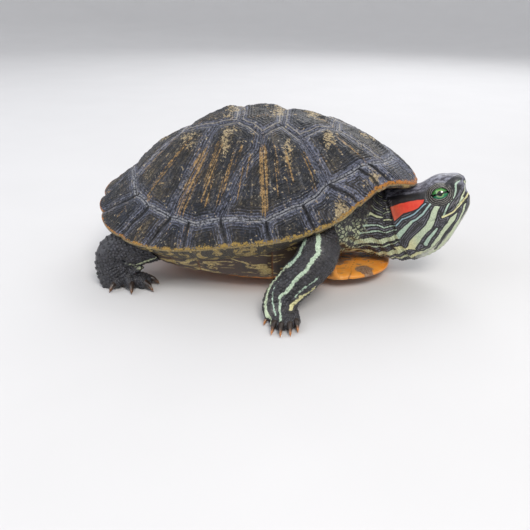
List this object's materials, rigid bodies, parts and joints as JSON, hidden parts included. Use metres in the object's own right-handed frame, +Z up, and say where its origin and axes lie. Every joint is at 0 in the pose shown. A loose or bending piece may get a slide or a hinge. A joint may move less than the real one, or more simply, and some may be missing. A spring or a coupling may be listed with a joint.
{
  "type": "red-eared slider turtle, still life-size animal model",
  "caption": "Pond turtle standing on four webbed feet: domed ridged shell, striped head with a red ear patch, neck half drawn in.",
  "frame": {"origin": "on the floor, under the middle of the box that holds the whole animal", "axes": "+X forward to the head, +Y to the turtle's left, +Z up"},
  "size_m": [0.192, 0.1788, 0.085],
  "materials": {
    "carapace_horn": "dark grey-brown horn plates with growth rings, olive and ochre streaks, satin",
    "plastron_horn": "orange-yellow horn with dark smudges, satin",
    "skin": "near-black scaly skin with pale green stripes and a red patch behind the eye",
    "eye": "green iris with a black pupil and bar under a wet, clear surface",
    "claw_horn": "dark horn with paler brown tips"
  },
  "bodies": {
    "root": {"carapace": "carapace_horn", "plastron": "plastron_horn", "trunk": "skin", "neck": "skin", "head": "skin", "lower_jaw": "skin", "eye_right": "eye", "eye_left": "eye", "tail": "skin", "foreleg_right": "skin", "forefoot_right": "skin", "claw_fore_right_1": "claw_horn", "claw_fore_right_2": "claw_horn", "claw_fore_right_3": "claw_horn", "claw_fore_right_4": "claw_horn", "claw_fore_right_5": "claw_horn", "hindleg_right": "skin", "hindfoot_right": "skin", "claw_hind_right_1": "claw_horn", "claw_hind_right_2": "claw_horn", "claw_hind_right_3": "claw_horn", "claw_hind_right_4": "claw_horn", "foreleg_left": "skin", "forefoot_left": "skin", "claw_fore_left_1": "claw_horn", "claw_fore_left_2": "claw_horn", "claw_fore_left_3": "claw_horn", "claw_fore_left_4": "claw_horn", "claw_fore_left_5": "claw_horn", "hindleg_left": "skin", "hindfoot_left": "skin", "claw_hind_left_1": "claw_horn", "claw_hind_left_2": "claw_horn", "claw_hind_left_3": "claw_horn", "claw_hind_left_4": "claw_horn"}
  },
  "joints": []
}
